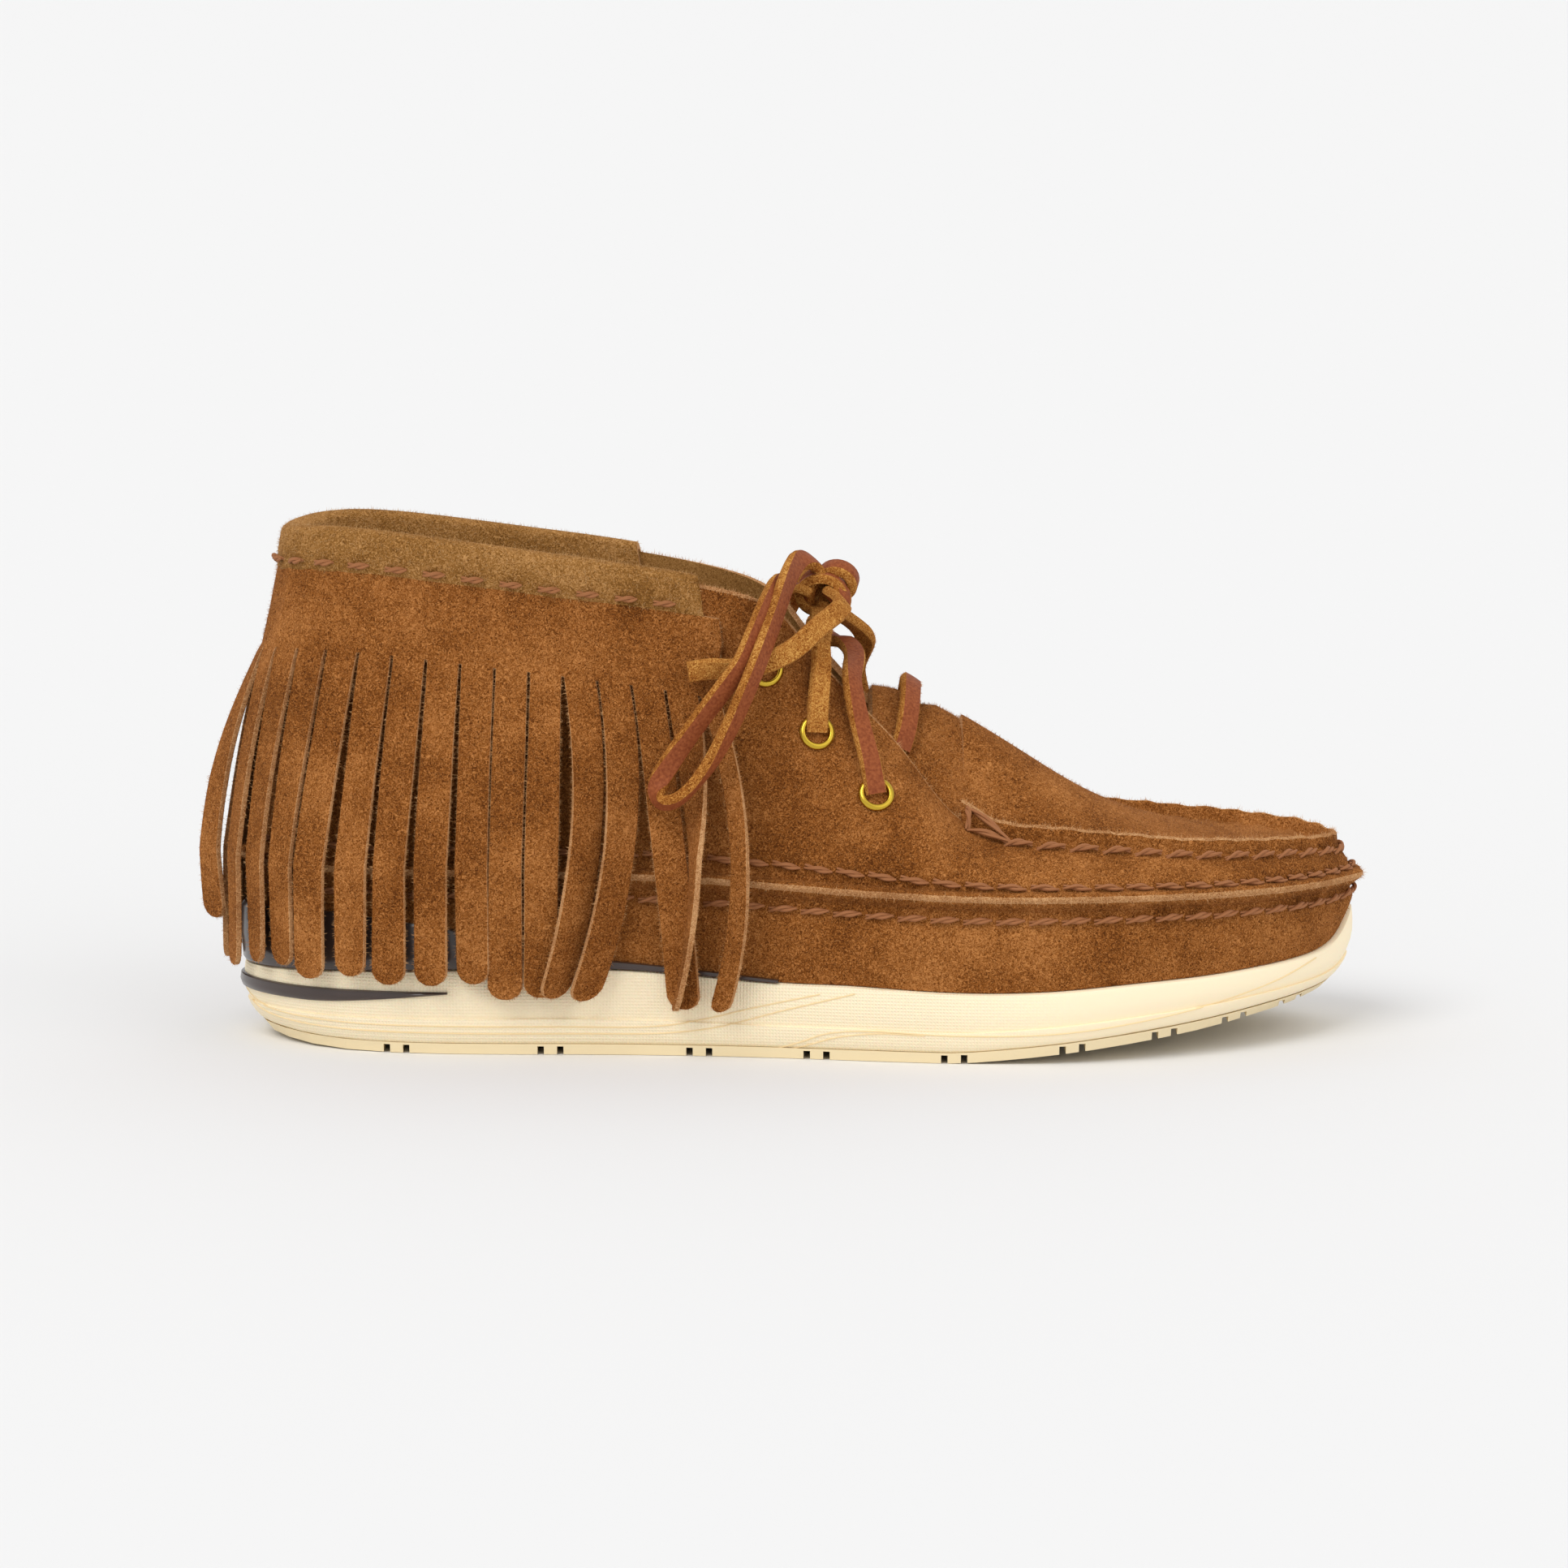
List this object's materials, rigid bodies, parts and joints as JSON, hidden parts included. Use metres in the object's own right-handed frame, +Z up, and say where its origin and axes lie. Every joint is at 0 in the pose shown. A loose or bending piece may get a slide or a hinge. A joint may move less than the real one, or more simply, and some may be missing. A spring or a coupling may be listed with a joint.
{
  "type": "moccasin ankle boot",
  "caption": "Low suede moccasin boot with a hand-sewn apron, fringed ankle, leather lace bow and moulded sole.",
  "frame": {"origin": "on the floor, under the middle of the heel's tread, 56 mm forward of the back of the sole", "axes": "+X heel to toe, +Y to the medial side, +Z up from the floor"},
  "size_m": [0.3035, 0.1013, 0.1368],
  "materials": {
    "suede": "rough tobacco-brown suede",
    "cuff_suede": "rough lighter brown suede",
    "cream_foam": "satin moulded foam",
    "cream_rubber": "satin moulded rubber",
    "brown_plastic": "glossy dark brown",
    "brass": "polished",
    "lace_leather": "smooth red-brown face, raw edges",
    "sock_liner": "matte"
  },
  "bodies": {
    "root": {"outsole": "cream_rubber", "midsole": "cream_foam", "heel_band": "brown_plastic", "insole": "sock_liner", "upper": "suede", "tongue": "suede", "heel_counter": "brown_plastic", "collar_cuff": "cuff_suede", "fringe": "suede", "lace_cross": "lace_leather", "lace_risers": "lace_leather", "lace_bar_low": "lace_leather", "lace_loop_near": "lace_leather", "lace_loop_far": "lace_leather", "lace_end_near": "lace_leather", "lace_knot": "lace_leather", "eyelet_lateral_1": "brass", "eyelet_lateral_2": "brass", "eyelet_lateral_3": "brass", "eyelet_medial_1": "brass", "eyelet_medial_2": "brass", "eyelet_medial_3": "brass"}
  },
  "joints": []
}
